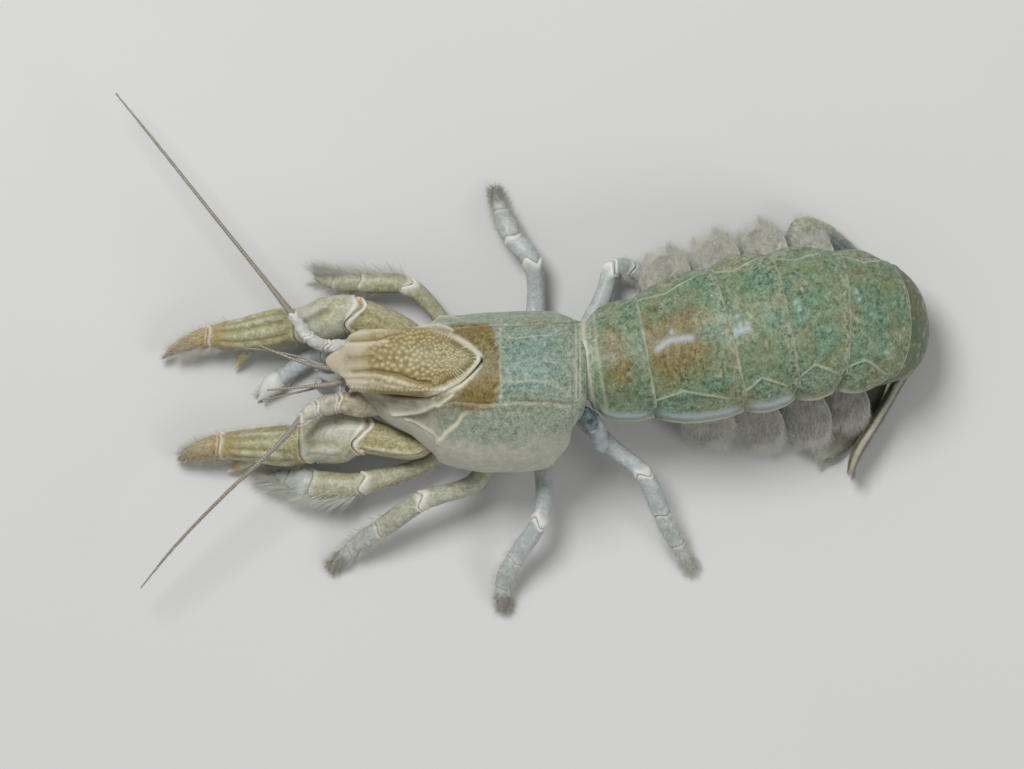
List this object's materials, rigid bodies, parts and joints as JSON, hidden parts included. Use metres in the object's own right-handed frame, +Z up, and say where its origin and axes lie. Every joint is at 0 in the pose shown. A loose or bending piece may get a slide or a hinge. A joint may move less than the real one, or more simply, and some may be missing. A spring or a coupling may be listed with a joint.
{
  "type": "blue mud shrimp model",
  "caption": "A life-size still model of a blue mud shrimp with hairy legs, two claws, long antennae and a tail curled under, resting on the floor.",
  "frame": {"origin": "on the floor, at the middle of the animal's box in plan", "axes": "-X towards the head, +Z up through the back, +Y to the animal's right side"},
  "size_m": [0.1221, 0.0798, 0.0267],
  "materials": {
    "shell": "green shell of the abdomen, mottled pale and ochre, semi-gloss",
    "shield": "ochre head shield with rows of pale tubercles, semi-gloss",
    "flank": "grey-green carapace flank, finely speckled, semi-gloss",
    "claw": "olive-yellow claw shell with pale ridges, semi-gloss",
    "limb": "pale blue-grey translucent-looking limb shell",
    "fan": "blue-grey tail fan, thin and semi-gloss",
    "fringe": "grey-white fringed swimmerets",
    "feeler": "taupe ringed feelers",
    "cornea": "dark purple cornea on a pale stalk"
  },
  "bodies": {
    "root": {"carapace": "flank", "head_shield": "shield", "thorax_underside": "limb", "abdomen_1": "shell", "abdomen_2": "shell", "abdomen_3": "shell", "abdomen_4": "shell", "abdomen_5": "shell", "abdomen_6": "shell", "telson": "fan", "uropod_left_outer": "fan", "uropod_left_inner": "fan", "uropod_right_outer": "fan", "uropod_right_inner": "fan", "pleopod_left_2": "fringe", "pleopod_left_3": "fringe", "pleopod_left_4": "fringe", "pleopod_left_5": "fringe", "pleopod_right_2": "fringe", "pleopod_right_3": "fringe", "pleopod_right_4": "fringe", "pleopod_right_5": "fringe", "eye_left": "cornea", "antennule_left": "feeler", "antenna_left_base": "feeler", "antenna_left_flagellum": "feeler", "maxilliped_left": "limb", "claw_left_arm": "claw", "claw_left_wrist": "claw", "claw_left_palm": "claw", "claw_left_finger": "claw", "leg_left_2_upper": "claw", "leg_left_2_lower": "claw", "leg_left_3_upper": "limb", "leg_left_3_lower": "limb", "leg_left_4_upper": "limb", "leg_left_4_lower": "limb", "leg_left_5_upper": "limb", "leg_left_5_lower": "limb", "eye_right": "cornea", "antennule_right": "feeler", "antenna_right_base": "feeler", "antenna_right_flagellum": "feeler", "maxilliped_right": "limb", "claw_right_arm": "claw", "claw_right_wrist": "claw", "claw_right_palm": "claw", "claw_right_finger": "claw", "leg_right_2_upper": "claw", "leg_right_2_lower": "claw", "leg_right_3_upper": "limb", "leg_right_3_lower": "limb", "leg_right_4_upper": "limb", "leg_right_4_lower": "limb", "leg_right_5_upper": "limb", "leg_right_5_lower": "limb"}
  },
  "joints": []
}
